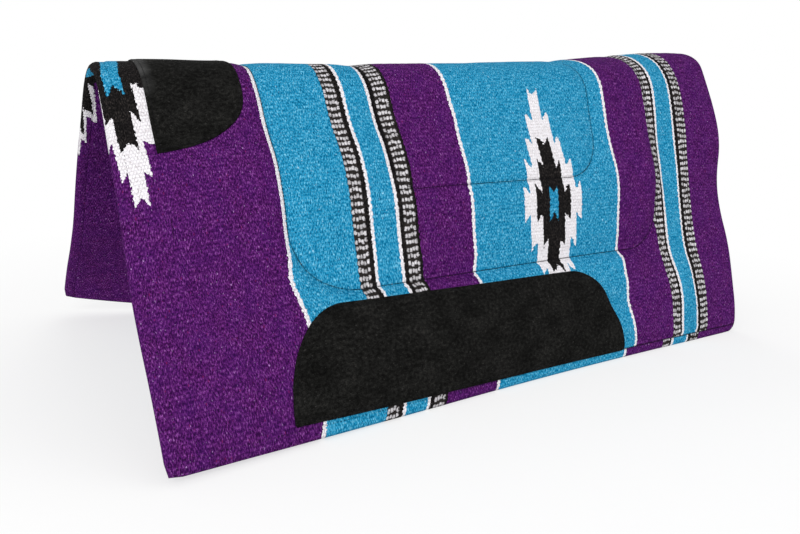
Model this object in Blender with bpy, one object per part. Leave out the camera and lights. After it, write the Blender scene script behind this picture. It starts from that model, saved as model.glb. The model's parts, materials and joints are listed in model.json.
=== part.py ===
# Western saddle blanket, draped over its own spine line and standing on its two long hems.
# u runs along the spine from the front edge, t across it from the spine, and both are
# measured on the flat cloth. Negative t is the near flap, towards -Y.

import functools
import math

import bmesh
import bpy
import numpy as np
from mathutils import Vector

# Cut sizes of the cloth, in metres
SPINE_LENGTH = 0.8636
CLOTH_WIDTH = 0.9144
HEM_BAND = 0.012
FRONT_CORNER_RADIUS = 0.007
REAR_CORNER_RADIUS = 0.014

# Thickness of each layer, from the outside in
LEATHER_THICKNESS = 0.002
WOVEN_THICKNESS = 0.003
FELT_THICKNESS = 0.006
PANEL_FOAM_THICKNESS = 0.006
SEAT_FOAM_THICKNESS = 0.005
LAYER_GAP = 0.0003
EDGE_CLEARANCE = 0.0010
EDGE_ROLL = 0.004

# Wear leather over the withers, cut like half a rounded plate
WITHER_LEATHER_FRONT = 0.040
WITHER_LEATHER_LENGTH = 0.104
WITHER_LEATHER_DROP = 0.145
WITHER_LEATHER_ROUNDNESS = 4.0

# Wear leather on each flap, where the girth and the stirrups rub; its upper corners are
# quarters of an ellipse as tall as the straight part of its sides
SIDE_LEATHER_FRONT = 0.122
SIDE_LEATHER_LENGTH = 0.484
SIDE_LEATHER_HEIGHT = 0.110
SIDE_LEATHER_TOP_CORNER = 0.075
SIDE_LEATHER_BOTTOM_CORNER = 0.006
LEATHER_ABOVE_HEM = 0.004

# Quilted panels: the seat panel lies inside the outer one
SEAM_BEHIND_WITHER_LEATHER = 0.014
SEAM_ABOVE_SIDE_LEATHER = 0.0157
OUTER_PANEL_LENGTH = 0.550
OUTER_PANEL_CORNER = 0.058
SEAT_PANEL_FRONT = 0.289
SEAT_PANEL_LENGTH = 0.317
SEAT_PANEL_DROP = 0.217
SEAT_PANEL_CORNER = 0.045
OUTER_SEAM_DEPTH = 0.007
OUTER_SEAM_DEPTH_AT_SPINE = 0.0015
SEAT_SEAM_DEPTH = 0.0025
SEAM_HALF_WIDTH = 0.016
FOAM_INSIDE_SEAM = 0.010
FOAM_BEVEL = 0.035

# Drape: distance from the spine, and how far the cloth leans below the horizontal there
# at four even sections from the front edge to the rear edge. The hem has a row of its own.
DRAPE_SECTIONS = (
    (0.000, 0, 0, 0, 0),
    (0.030, 27, 3, 7, 23),
    (0.060, 49, 33, 26, 63),
    (0.100, 55, 62, 72, 63),
    (0.150, 52, 49, 69, 71),
    (0.200, 58, 62, 59, 92),
    (0.250, 60, 82, 88, 76),
    (0.300, 48, 60, 79, 64),
    (0.350, 42, 52, 53, 75),
    (0.400, 46, 70, 78, 75),
)
HEM_LEAN = (52, 80, 80, 91)
FRONT_CORNER_LIFT = 0.005
FAR_FLAP_FLARE = 4.3
LIFT_LENGTH = 0.40
REST_CUT = 0.0015

# Spacing of the facets
SPINE_STEP = 0.080
ACROSS_STEP = 0.046
SMALLEST_CELL = 0.005
CLEAR_OF_SEAM = 0.020
CORNER_ANGLE = 45
PROFILE_STEPS = 240
ARC_STEPS = 4

HALF_WIDTH = CLOTH_WIDTH / 2
SIDE_LEATHER_BOTTOM = HALF_WIDTH - HEM_BAND - LEATHER_ABOVE_HEM
SIDE_LEATHER_TOP = SIDE_LEATHER_BOTTOM - SIDE_LEATHER_HEIGHT
OUTER_PANEL_FRONT = WITHER_LEATHER_FRONT + WITHER_LEATHER_LENGTH + SEAM_BEHIND_WITHER_LEATHER
OUTER_PANEL_REAR = OUTER_PANEL_FRONT + OUTER_PANEL_LENGTH
OUTER_PANEL_DROP = SIDE_LEATHER_TOP - SEAM_ABOVE_SIDE_LEATHER
SEAT_PANEL_REAR = SEAT_PANEL_FRONT + SEAT_PANEL_LENGTH

# Depth of each face under the outer face of the cloth, where no foam lies between
FELT_TOP = WOVEN_THICKNESS + LAYER_GAP
FELT_BOTTOM = FELT_TOP + FELT_THICKNESS
FOAM_TOP = FELT_BOTTOM + LAYER_GAP
UNDERSIDE_TOP = FOAM_TOP + 2 * LAYER_GAP
EDGE_THICKNESS = UNDERSIDE_TOP + WOVEN_THICKNESS

OUTER_PANEL = (OUTER_PANEL_FRONT, OUTER_PANEL_REAR, OUTER_PANEL_DROP, OUTER_PANEL_CORNER)
SEAT_PANEL = (SEAT_PANEL_FRONT, SEAT_PANEL_REAR, SEAT_PANEL_DROP, SEAT_PANEL_CORNER)


def clear_scene():
    for item in list(bpy.data.objects):
        bpy.data.objects.remove(item, do_unlink=True)


def make_material(name, color, roughness):
    material = bpy.data.materials.new(name)
    material.use_nodes = True
    shader = material.node_tree.nodes["Principled BSDF"]
    shader.inputs["Base Color"].default_value = (*color, 1.0)
    shader.inputs["Roughness"].default_value = roughness
    shader.inputs["Metallic"].default_value = 0.0
    return material


# Drape of the outer face

def along_spine(u, values):
    # A value that passes through its even sections on one smooth curve.
    places = np.linspace(0.0, SPINE_LENGTH, len(values))
    total = 0.0
    for place, value in zip(places, values):
        for other in places:
            if other != place:
                value *= (u - other) / (place - other)
        total += value
    return total


def front_fade(u):
    # Full at the front edge and gone LIFT_LENGTH behind it.
    return max(0.0, 1.0 - u / LIFT_LENGTH) ** 2


@functools.lru_cache(maxsize=None)
def flap_profile(u, side):
    # Distance from the spine, reach outwards, drop and lean of one flap at one section.
    rows = [row for row in DRAPE_SECTIONS if row[0] < HALF_WIDTH] + [(HALF_WIDTH, *HEM_LEAN)]
    stations = [row[0] for row in rows]
    leans = [along_spine(u, row[1:]) for row in rows]
    distance = np.linspace(0.0, HALF_WIDTH, PROFILE_STEPS + 1)
    lean = np.radians(np.interp(distance, stations, leans))
    if side > 0:
        shoulder = DRAPE_SECTIONS[2][0]
        flare = math.radians(FAR_FLAP_FLARE) * front_fade(u)
        lean = lean - flare * np.clip(distance / shoulder, 0.0, 1.0)
    middle = (lean[1:] + lean[:-1]) / 2
    step = HALF_WIDTH / PROFILE_STEPS
    reach = np.concatenate(([0.0], np.cumsum(np.cos(middle) * step)))
    drop = np.concatenate(([0.0], np.cumsum(np.sin(middle) * step)))
    return distance, reach, drop, lean


@functools.lru_cache(maxsize=None)
def spine_height(u):
    # The near hem's lowest corner comes down to the floor, less what is cut flat there.
    distance, reach, drop, lean = flap_profile(u, -1)
    edge_drop = (EDGE_THICKNESS - EDGE_ROLL / 2) * max(0.0, math.cos(lean[-1]))
    return drop[-1] + edge_drop + FRONT_CORNER_LIFT * front_fade(u) - REST_CUT


def depth_inside(u, t, panel):
    # How far a point lies inside a panel with rounded corners, and negative outside it.
    front, rear, half_width, corner = panel
    corner = min(corner, half_width, (rear - front) / 2)
    along = abs(u - (front + rear) / 2) - (rear - front) / 2 + corner
    across = abs(t) - half_width + corner
    outside = math.hypot(max(along, 0.0), max(across, 0.0))
    return corner - outside - min(max(along, across), 0.0)


def seam_valley(u, t):
    # Each seam pulls the cloth in along its line and lets it swell again beside it. The outer
    # seam lies shallow over the spine and bites deeper down the flap.
    outer = depth_inside(u, t, OUTER_PANEL) / SEAM_HALF_WIDTH
    seat = depth_inside(u, t, SEAT_PANEL) / SEAM_HALF_WIDTH
    down = min(abs(t) / OUTER_PANEL_DROP, 1.0) ** 2
    outer_depth = OUTER_SEAM_DEPTH_AT_SPINE + (OUTER_SEAM_DEPTH - OUTER_SEAM_DEPTH_AT_SPINE) * down
    return outer_depth * math.exp(-outer ** 2) + SEAT_SEAM_DEPTH * math.exp(-seat ** 2)


def outer_face(u, t):
    # Point and normal of the outer face at one place of the flat cloth.
    side = 1 if t > 0 else -1
    distance, reach, drop, lean = flap_profile(u, side)
    place = abs(t)
    angle = float(np.interp(place, distance, lean))
    normal = Vector((0.0, side * math.sin(angle), math.cos(angle)))
    point = Vector((u, side * float(np.interp(place, distance, reach)),
                    spine_height(u) - float(np.interp(place, distance, drop))))
    return point - normal * seam_valley(u, t), normal


# One lattice of lines on the flat cloth carries every layer, so that their facets match

def spread_lines(stops, step):
    kept = [stops[0]]
    for stop in sorted(stops[1:]):
        if stop - kept[-1] >= SMALLEST_CELL:
            kept.append(stop)
    kept[-1] = stops[-1]
    lines = [kept[0]]
    for start, end in zip(kept, kept[1:]):
        count = max(1, math.ceil((end - start) / step - 1e-6))
        lines += [start + (end - start) * k / count for k in range(1, count + 1)]
    return lines


def make_lattice():
    # A station of the drape that lies beside a seam gets no line of its own.
    along = spread_lines([EDGE_ROLL, HEM_BAND, OUTER_PANEL_FRONT, SEAT_PANEL_FRONT, SEAT_PANEL_REAR,
                          OUTER_PANEL_REAR, SPINE_LENGTH - HEM_BAND, SPINE_LENGTH - EDGE_ROLL],
                         SPINE_STEP)
    stations = [row[0] for row in DRAPE_SECTIONS if row[0] < HALF_WIDTH - HEM_BAND]
    seams = [SEAT_PANEL_DROP, OUTER_PANEL_DROP]
    half = spread_lines([s for s in stations if min(abs(s - seam) for seam in seams) > CLEAR_OF_SEAM]
                        + seams + [HALF_WIDTH - HEM_BAND, HALF_WIDTH - EDGE_ROLL], ACROSS_STEP)
    across = [-t for t in reversed(half[1:])] + half
    faces = {(i, j): outer_face(u, t) for i, u in enumerate(along) for j, t in enumerate(across)}
    return {"along": along, "across": across, "faces": faces}


def cell_triangles(lattice, i, j):
    # The diagonal of a cell runs down and back on both flaps.
    a, b, c, d = (i, j), (i + 1, j), (i + 1, j + 1), (i, j + 1)
    if lattice["across"][j] >= 0:
        return (a, b, c), (a, c, d)
    return (a, b, d), (b, c, d)


def find_cell(lines, value):
    index = int(np.searchsorted(lines, value, side="right")) - 1
    return min(max(index, 0), len(lines) - 2)


def lattice_point(lattice, u, t, depth):
    # A place on the faceted cloth, depth(i, j) under its outer face, linear in each facet.
    along, across = lattice["along"], lattice["across"]
    i, j = find_cell(along, u), find_cell(across, t)
    x = (u - along[i]) / (along[i + 1] - along[i])
    y = (t - across[j]) / (across[j + 1] - across[j])
    first, second = cell_triangles(lattice, i, j)
    if across[j] >= 0:
        nodes, weights = (first, (1 - x, x - y, y)) if x >= y else (second, (1 - y, x, y - x))
    else:
        nodes, weights = (first, (1 - x - y, x, y)) if x + y <= 1 else (second, (1 - y, x + y - 1, 1 - x))
    total = Vector((0.0, 0.0, 0.0))
    for node, weight in zip(nodes, weights):
        point, normal = lattice["faces"][node]
        total += weight * (point - normal * depth(*node))
    return total


# Solids

def add_object(name, vertices, faces, material, parent):
    mesh = bpy.data.meshes.new(name)
    mesh.from_pydata(vertices, [], faces)
    mesh.materials.append(material)
    mesh.shade_smooth()
    mesh.set_sharp_from_angle(angle=math.radians(40))
    item = bpy.data.objects.new(name, mesh)
    bpy.context.scene.collection.objects.link(item)
    item.parent = parent
    return item


def border_nodes(lattice):
    # Lattice nodes round the edge of the sheet, anticlockwise seen from outside.
    last_i, last_j = len(lattice["along"]) - 1, len(lattice["across"]) - 1
    nodes = [(i, 0) for i in range(last_i)]
    nodes += [(last_i, j) for j in range(last_j)]
    nodes += [(i, last_j) for i in range(last_i, 0, -1)]
    nodes += [(0, j) for j in range(last_j, 0, -1)]
    return nodes


def edge_point(lattice, node, inset, depth):
    # A border node moved to an inset from the cut edge, with the sheet's corners rounded off.
    i, j = node
    u, t = lattice["along"][i], lattice["across"][j]
    at_front, at_rear = i == 0, i == len(lattice["along"]) - 1
    at_hem = j in (0, len(lattice["across"]) - 1)
    corner = 0.0
    if at_hem and (at_front or at_rear):
        radius = FRONT_CORNER_RADIUS if at_front else REAR_CORNER_RADIUS
        corner = radius * (1 - math.cos(math.radians(CORNER_ANGLE)))
    if at_front:
        u = inset + corner
    if at_rear:
        u = SPINE_LENGTH - inset - corner
    if at_hem:
        t = math.copysign(HALF_WIDTH - inset - corner, t)
    point, normal = outer_face(u, t)
    return point - normal * depth


def sheet_faces(lattice, index, flip):
    faces = []
    for i in range(len(lattice["along"]) - 1):
        for j in range(len(lattice["across"]) - 1):
            for triangle in cell_triangles(lattice, i, j):
                face = [index[node] for node in triangle]
                faces.append(face[::-1] if flip else face)
    return faces


def wall_faces(upper, lower):
    faces = []
    for k, a in enumerate(upper):
        b, c, d = upper[k - 1], lower[k - 1], lower[k]
        faces += [(a, b, c), (a, c, d)]
    return faces


def sheet_solid(name, lattice, top, rings, bottom, material, parent):
    # A whole sheet: an outer and an inner face on the lattice, joined by rings round the edge.
    # top and bottom are (inset of the border, depth function), each ring is (inset, depth).
    border = border_nodes(lattice)
    vertices, loops, sheets = [], [], []
    for inset, depth in (top, bottom):
        index = {}
        for node, (point, normal) in lattice["faces"].items():
            index[node] = len(vertices)
            on_edge = node in border
            vertices.append(edge_point(lattice, node, inset, depth(*node)) if on_edge
                            else point - normal * depth(*node))
        sheets.append(index)
    loops.append([sheets[0][node] for node in border])
    for inset, depth in rings:
        loops.append(list(range(len(vertices), len(vertices) + len(border))))
        vertices += [edge_point(lattice, node, inset, depth) for node in border]
    loops.append([sheets[1][node] for node in border])
    faces = sheet_faces(lattice, sheets[0], False) + sheet_faces(lattice, sheets[1], True)
    for upper, lower in zip(loops, loops[1:]):
        faces += wall_faces(upper, lower)
    return add_object(name, vertices, faces, material, parent)


def cut_piece(lattice, outline):
    # The part of the flat lattice inside a convex outline, as small flat triangles.
    flat = bmesh.new()
    nodes = {}
    for i, u in enumerate(lattice["along"]):
        for j, t in enumerate(lattice["across"]):
            nodes[i, j] = flat.verts.new((u, t, 0.0))
    for i in range(len(lattice["along"]) - 1):
        for j in range(len(lattice["across"]) - 1):
            for triangle in cell_triangles(lattice, i, j):
                flat.faces.new([nodes[node] for node in triangle])
    for start, end in zip(outline, outline[1:] + outline[:1]):
        outwards = Vector((end[1] - start[1], start[0] - end[0], 0.0)).normalized()
        bmesh.ops.bisect_plane(flat, geom=flat.verts[:] + flat.edges[:] + flat.faces[:], dist=1e-7,
                               plane_co=(*start, 0.0), plane_no=outwards, clear_outer=True)
    bmesh.ops.remove_doubles(flat, verts=flat.verts[:], dist=2e-4)
    bmesh.ops.triangulate(flat, faces=flat.faces[:])
    flat.normal_update()
    return flat


def cut_solid(name, lattice, outline, upper, lower, material, parent):
    # A piece cut to an outline and laid on the lattice between two depths.
    flat = cut_piece(lattice, outline)
    flat.verts.index_update()
    count = len(flat.verts)
    vertices = [lattice_point(lattice, v.co.x, v.co.y, upper) for v in flat.verts]
    vertices += [lattice_point(lattice, v.co.x, v.co.y, lower) for v in flat.verts]
    faces = []
    for face in flat.faces:
        ring = [v.index for v in face.verts]
        if face.normal.z < 0:
            ring.reverse()
        faces.append(tuple(ring))
        faces.append(tuple(k + count for k in reversed(ring)))
    sides = {}
    for ring in faces[::2]:
        for k, b in enumerate(ring):
            sides[ring[k - 1], b] = True
    for a, b in sides:
        if (b, a) not in sides:
            faces += [(b, a, a + count), (b, a + count, b + count)]
    flat.free()
    return add_object(name, vertices, faces, material, parent)


# Outlines on the flat cloth

def arc(center_u, center_t, radius, start, end, stretch=1.0):
    # An arc that is stretched across the cloth where its corner is taller than it is long.
    angles = [math.radians(start + (end - start) * k / ARC_STEPS) for k in range(ARC_STEPS + 1)]
    return [(center_u + radius * math.cos(a), center_t + radius * stretch * math.sin(a))
            for a in angles]


def panel_outline(front, rear, half_width, corner):
    return (arc(rear - corner, half_width - corner, corner, 0, 90)
            + arc(front + corner, half_width - corner, corner, 90, 180)
            + arc(front + corner, corner - half_width, corner, 180, 270)
            + arc(rear - corner, corner - half_width, corner, 270, 360))


def side_leather_outline(side):
    front, rear = SIDE_LEATHER_FRONT, SIDE_LEATHER_FRONT + SIDE_LEATHER_LENGTH
    top, low = SIDE_LEATHER_TOP, SIDE_LEATHER_BOTTOM
    big, small = SIDE_LEATHER_TOP_CORNER, SIDE_LEATHER_BOTTOM_CORNER
    stretch = (low - small - top) / big
    outline = (arc(rear - small, low - small, small, 0, 90)
               + arc(front + small, low - small, small, 90, 180)
               + arc(front + big, low - small, big, 180, 270, stretch)[1:]
               + arc(rear - big, low - small, big, 270, 360, stretch)[:-1])
    if side < 0:
        outline = [(u, -t) for u, t in reversed(outline)]
    return outline


def wither_leather_outline():
    # A straight front edge, and one superellipse from hem to hem round the rear.
    power = 2 / WITHER_LEATHER_ROUNDNESS
    outline = []
    for k in range(-2 * ARC_STEPS, 2 * ARC_STEPS + 1):
        angle = math.pi / 2 * k / (2 * ARC_STEPS)
        along = max(math.cos(angle), 0.0) ** power if abs(k) < 2 * ARC_STEPS else 0.0
        across = math.copysign(abs(math.sin(angle)) ** power, angle)
        outline.append((WITHER_LEATHER_FRONT + WITHER_LEATHER_LENGTH * along,
                        WITHER_LEATHER_DROP * across))
    return outline


# Pieces

def foam_thickness(lattice, panel, thickness):
    # Foam thins out over its bevel towards the seam that closes its pocket.
    def at_node(i, j):
        inside = depth_inside(lattice["along"][i], lattice["across"][j], panel)
        return thickness * min(max(inside / FOAM_BEVEL, 0.0), 1.0)
    return at_node


def make_woven_top(lattice, material, parent):
    inner = WOVEN_THICKNESS
    rings = [(0.0, EDGE_ROLL), (0.0, EDGE_THICKNESS - EDGE_ROLL / 2), (inner, EDGE_THICKNESS)]
    top = sheet_solid("woven_top", lattice, (EDGE_ROLL, lambda i, j: 0.0), rings,
                      (inner, lambda i, j: inner), material, parent)
    for vertex in top.data.vertices:
        vertex.co.z = max(vertex.co.z, 0.0)
    return top


def make_felt_core(lattice, material, parent):
    inset = WOVEN_THICKNESS + EDGE_CLEARANCE
    return sheet_solid("felt_core", lattice, (inset, lambda i, j: FELT_TOP), [],
                       (inset, lambda i, j: FELT_BOTTOM), material, parent)


def make_underside(lattice, panel_foam, seat_foam, material, parent):
    inset = WOVEN_THICKNESS + EDGE_CLEARANCE

    def upper(i, j):
        return UNDERSIDE_TOP + panel_foam(i, j) + seat_foam(i, j)

    return sheet_solid("woven_underside", lattice, (inset, upper), [],
                       (inset, lambda i, j: upper(i, j) + WOVEN_THICKNESS), material, parent)


def make_foam(name, lattice, panel, upper, thickness, material, parent):
    front, rear, half_width, corner = panel
    trim = FOAM_INSIDE_SEAM
    outline = panel_outline(front + trim, rear - trim, half_width - trim, corner - trim)
    return cut_solid(name, lattice, outline, upper, lambda i, j: upper(i, j) + thickness(i, j),
                     material, parent)


def make_leather(name, lattice, outline, material, parent):
    return cut_solid(name, lattice, outline, lambda i, j: -LAYER_GAP - LEATHER_THICKNESS,
                     lambda i, j: -LAYER_GAP, material, parent)


def set_on_origin(frame, cloth):
    # The origin lies on the floor, midway between the ends and between the two hems.
    rows = [vertex.co for vertex in cloth.data.vertices]
    middle = (min(co.y for co in rows) + max(co.y for co in rows)) / 2
    frame.location = (-SPINE_LENGTH / 2, -middle, 0.0)


def main():
    clear_scene()
    frame = bpy.data.objects.new("blanket_frame", None)
    bpy.context.scene.collection.objects.link(frame)
    lattice = make_lattice()

    purple = make_material("purple_wool", (0.105, 0.018, 0.15), 0.95)
    shaded = make_material("underside_wool", (0.085, 0.016, 0.12), 0.95)
    felt = make_material("grey_felt", (0.32, 0.31, 0.29), 0.95)
    foam = make_material("cream_foam", (0.78, 0.72, 0.55), 0.9)
    suede = make_material("black_suede", (0.012, 0.012, 0.011), 0.85)

    panel_foam = foam_thickness(lattice, OUTER_PANEL, PANEL_FOAM_THICKNESS)
    seat_foam = foam_thickness(lattice, SEAT_PANEL, SEAT_FOAM_THICKNESS)

    cloth = make_woven_top(lattice, purple, frame)
    make_felt_core(lattice, felt, frame)
    make_foam("panel_foam", lattice, OUTER_PANEL, lambda i, j: FOAM_TOP, panel_foam, foam, frame)
    make_foam("seat_foam", lattice, SEAT_PANEL,
              lambda i, j: FOAM_TOP + panel_foam(i, j) + LAYER_GAP, seat_foam, foam, frame)
    make_underside(lattice, panel_foam, seat_foam, shaded, frame)
    make_leather("wither_wear_leather", lattice, wither_leather_outline(), suede, frame)
    for name, side in (("near_wear_leather", -1), ("far_wear_leather", 1)):
        make_leather(name, lattice, side_leather_outline(side), suede, frame)
    set_on_origin(frame, cloth)
    bpy.context.view_layer.update()


main()
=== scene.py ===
import json
import math
from functools import partial

import bpy
import numpy as np
from mathutils import Matrix, Vector

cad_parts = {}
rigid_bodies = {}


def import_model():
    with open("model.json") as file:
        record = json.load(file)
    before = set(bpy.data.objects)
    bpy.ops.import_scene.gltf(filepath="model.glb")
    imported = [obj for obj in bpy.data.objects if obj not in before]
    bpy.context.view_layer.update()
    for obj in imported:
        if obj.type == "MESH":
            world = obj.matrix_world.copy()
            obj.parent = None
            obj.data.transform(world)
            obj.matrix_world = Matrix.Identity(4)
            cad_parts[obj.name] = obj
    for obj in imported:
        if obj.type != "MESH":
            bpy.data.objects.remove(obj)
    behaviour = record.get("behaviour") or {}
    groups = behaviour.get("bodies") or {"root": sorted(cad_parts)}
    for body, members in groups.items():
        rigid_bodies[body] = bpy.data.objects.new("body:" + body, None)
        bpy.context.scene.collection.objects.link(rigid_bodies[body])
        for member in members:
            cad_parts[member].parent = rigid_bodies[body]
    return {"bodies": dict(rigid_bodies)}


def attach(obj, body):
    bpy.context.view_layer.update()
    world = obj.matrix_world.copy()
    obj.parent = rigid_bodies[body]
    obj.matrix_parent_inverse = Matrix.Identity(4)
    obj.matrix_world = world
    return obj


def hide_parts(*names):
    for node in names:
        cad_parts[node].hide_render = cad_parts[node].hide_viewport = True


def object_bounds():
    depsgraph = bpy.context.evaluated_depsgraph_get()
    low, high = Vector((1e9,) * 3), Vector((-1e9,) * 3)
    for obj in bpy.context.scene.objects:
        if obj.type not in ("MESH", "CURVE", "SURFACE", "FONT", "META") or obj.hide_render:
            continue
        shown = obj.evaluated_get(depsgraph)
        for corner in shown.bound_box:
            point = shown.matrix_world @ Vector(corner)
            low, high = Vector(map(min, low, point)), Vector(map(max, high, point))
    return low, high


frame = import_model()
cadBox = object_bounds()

# Places on the flat cloth are u, along the spine from the front edge, and t, across it from the
# spine, negative on the near flap; s is t without its sign. Sizes are in metres, angles in
# degrees, colours as they look.

body = sorted(frame["bodies"])[0]
tiny = 1e-9                  # lengths below this count as nothing

cloth = {
    "length": cadBox[1].x - cadBox[0].x,
    "width": 0.9144,
    "weave": 0.003,          # thickness of one woven layer
    "edge": 0.0132,          # thickness of all layers at the turned edge
    "hemBand": 0.012,        # from the stitching to the edge
    "layerGap": 0.0003,
    "cornerCut": (0.0025, 0.009),    # rounding of the front and the rear corners
    "cornerSharp": (6.0, 2.5),       # how squarely the edge turns there
}
halfWidth = cloth["width"] / 2

drape = {
    # distance from the spine, then the lean below horizontal at four even sections, front to rear
    "leans": ((0.000, 0, 0, 0, 0), (0.030, 27, 3, 7, 23), (0.060, 49, 33, 26, 63),
              (0.100, 55, 62, 72, 63), (0.150, 52, 49, 69, 71), (0.200, 58, 62, 59, 92),
              (0.250, 60, 82, 88, 76), (0.300, 48, 60, 79, 64), (0.350, 42, 52, 53, 75),
              (0.400, 46, 70, 78, 75), (halfWidth, 52, 80, 80, 91)),
    "frontLift": 0.005,      # how much higher the front edge stands
    "farFlare": 4.3,         # how much flatter the far flap leans at the front
    "shoulder": 0.060,       # where that flare is full
    "liftLength": 0.40,      # how far back the lift and the flare reach
    "restCut": 0.0015,       # how much is cut flat where the edge stands
    "edgeReach": 0.0112,     # how far below the hem's outer face the edge reaches
    "rows": 145,             # sections along the spine, and steps down each flap
    "steps": 240,
}

witherLeather = {
    "front": 0.0405,
    "slant": 0.0012,         # how much further back the front edge ends
    "drop": 0.1488,
    # distance from the spine, and where the rear edge lies there
    "rear": ((0.0, 0.1394), (0.03, 0.1396), (0.06, 0.1402), (0.085, 0.1397), (0.10, 0.1374),
             (0.11, 0.1332), (0.12, 0.1250), (0.13, 0.1126), (0.14, 0.0950), (0.1458, 0.0740),
             (0.1480, 0.0560)),
    "points": 40,            # on each half of its outline, and how often they are smoothed
    "smoothing": 3,
}
sideLeather = {
    "front": 0.122,
    "length": 0.484,
    "height": 0.110,
    "aboveHem": 0.004,       # over the hem's stitching
    "topCorner": 0.075,
    "bottomCorners": (0.0025, 0.008),    # front and rear
    "cornerSteps": (6, 24),  # lower and upper corners
    "slant": 0.0055,         # how far it runs down to the rear
    "bow": 0.0045,           # how far the upper edge bows up
    "bowEnds": 1.6,
}
sideLow = halfWidth - cloth["hemBand"] - sideLeather["aboveHem"]
sideTop = sideLow - sideLeather["height"]

# the seat panel is quilted inside the outer one; corners are front and rear
outerSeam = {"front": 0.158, "rear": 0.714, "drop": 0.3165, "corners": (0.072, 0.058),
             "depth": 0.006, "depthAtSpine": 0.0015}
seatSeam = {"front": 0.2885, "rear": 0.606, "drop": 0.2165, "corners": (0.030, 0.062),
            "depth": 0.0025}
valleyWidth = 0.016
outerPanel, seatPanel = ((seam["front"], seam["rear"], seam["drop"], *seam["corners"])
                         for seam in (outerSeam, seatSeam))


# Drape

def pair(a, b):
    return np.stack([a, b], -1)


def bell(distance, reach):
    return np.exp(-(distance / reach) ** 2)


def runningSum(values):
    return np.concatenate([[0.0], np.cumsum(values)])


def alongSpine(u, values):
    # a value that passes through its even sections on one smooth curve
    places = np.linspace(0.0, cloth["length"], len(values))
    total = 0.0
    for k, value in enumerate(values):
        others = np.delete(places, k)
        total += value * float(np.prod((u - others) / (places[k] - others)))
    return total


def frontFade(u):
    return max(0.0, 1.0 - u / drape["liftLength"]) ** 2


def flapSection(u, side):
    # reach outwards, drop and lean at even steps from the spine to the hem
    stations = [row[0] for row in drape["leans"]]
    leans = [alongSpine(u, row[1:]) for row in drape["leans"]]
    distance = np.linspace(0.0, halfWidth, drape["steps"] + 1)
    lean = np.radians(np.interp(distance, stations, leans))
    if side > 0:
        flare = math.radians(drape["farFlare"]) * frontFade(u)
        lean = lean - flare * np.clip(distance / drape["shoulder"], 0.0, 1.0)
    middle = (lean[1:] + lean[:-1]) / 2
    step = halfWidth / drape["steps"]
    return runningSum(np.cos(middle) * step), runningSum(np.sin(middle) * step), lean


def drapeTables():
    # each flap's reach, height and lean, in even rows along the spine
    rows = {-1: [], 1: []}
    for u in np.linspace(0.0, cloth["length"], drape["rows"]):
        near = flapSection(u, -1)
        top = near[1][-1] + drape["edgeReach"] * max(0.0, math.cos(near[2][-1]))
        top += drape["frontLift"] * frontFade(u) - drape["restCut"]
        for side in (-1, 1):
            reach, drop, lean = near if side < 0 else flapSection(u, side)
            rows[side].append((side * reach, top - drop, lean))
    return {side: np.swapaxes(part, 0, 1) for side, part in rows.items()}


tables = drapeTables()
spineY = -(tables[1][0][:, -1].max() + tables[-1][0][:, -1].min()) / 2


def mixed(table, i, j, ii, jj, fx, fy):
    return ((table[i, j] * (1 - fx) + table[ii, j] * fx) * (1 - fy)
            + (table[i, jj] * (1 - fx) + table[ii, jj] * fx) * fy)


def readTable(table, u, s):
    x = np.clip(u / cloth["length"], 0.0, 1.0) * (drape["rows"] - 1)
    y = np.clip(s / halfWidth, 0.0, 1.0) * drape["steps"]
    i = np.minimum(x.astype(int), drape["rows"] - 2)
    j = np.minimum(y.astype(int), drape["steps"] - 1)
    return mixed(table, i, j, i + 1, j + 1, x - i, y - j)


def insidePanel(u, t, panel):
    # distance inside a panel with rounded corners, negative outside it
    front, rear, drop, frontCorner, rearCorner = panel
    corner = np.where(u < (front + rear) / 2, frontCorner, rearCorner)
    along = np.abs(u - (front + rear) / 2) - (rear - front) / 2 + corner
    across = np.abs(t) - drop + corner
    outside = np.hypot(np.maximum(along, 0.0), np.maximum(across, 0.0))
    return corner - outside - np.minimum(np.maximum(along, across), 0.0)


def insideBoth(u, t):
    return insidePanel(u, t, outerPanel), insidePanel(u, t, seatPanel)


noiseGrid = {"cells": 97, "startU": 7.3, "startT": 41.7}


def softNoise(u, t, size, seed):
    # smooth waves from -1 to 1, about size apart
    cells = noiseGrid["cells"]
    values = np.random.default_rng(seed).uniform(-1.0, 1.0, (cells, cells))
    x = np.asarray(u) / size + noiseGrid["startU"]
    y = np.asarray(t) / size + noiseGrid["startT"]
    i, j = np.floor(x).astype(int), np.floor(y).astype(int)
    fx, fy = x - i, y - j
    fx, fy = fx * fx * (3 - 2 * fx), fy * fy * (3 - 2 * fy)
    return mixed(values, i % cells, j % cells, (i + 1) % cells, (j + 1) % cells, fx, fy)


waves = {"stillHem": 0.08, "sizes": ((0.0010, 0.11, 3), (0.0005, 0.042, 4))}   # depth, size, seed

# slack that the drape leaves: middle along and down the flap, reach along and down, height
folds = ((0.694, 0.205, 0.026, 0.055, 0.0085), (0.737, 0.205, 0.021, 0.055, -0.0105),
         (0.772, 0.205, 0.040, 0.055, -0.0040), (0.640, 0.334, 0.055, 0.014, 0.0060),
         (0.615, 0.385, 0.055, 0.024, -0.0110), (0.745, 0.385, 0.040, 0.045, 0.0050),
         (0.160, 0.345, 0.050, 0.020, 0.0035), (0.160, 0.296, 0.050, 0.014, -0.0025))


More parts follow.
